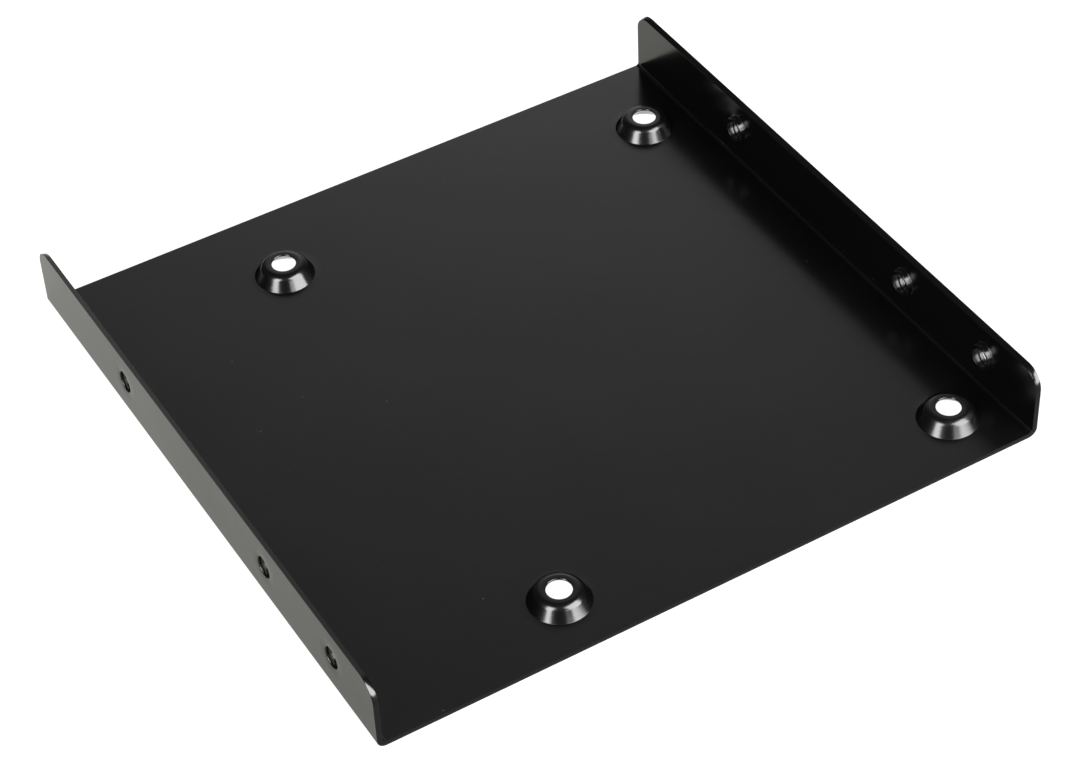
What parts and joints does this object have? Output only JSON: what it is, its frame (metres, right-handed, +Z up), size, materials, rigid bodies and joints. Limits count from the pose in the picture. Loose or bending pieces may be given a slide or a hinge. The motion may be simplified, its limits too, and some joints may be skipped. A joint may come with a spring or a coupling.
{
  "type": "drive bay adapter bracket",
  "caption": "Folded sheet metal tray with upturned side flanges that carries a small drive on raised screw seats inside a larger drive bay.",
  "frame": {"origin": "centre of the flat underside", "axes": "+X across the sheet towards the flange that the drive seats are nearer to, +Y along the flanges towards the end with the wider margin behind the seats, +Z up, the way the flanges stand"},
  "size_m": [0.1016, 0.099, 0.011],
  "materials": {
    "black_paint": "glossy black paint on steel sheet"
  },
  "bodies": {
    "root": {"bracket": "black_paint"}
  },
  "joints": []
}
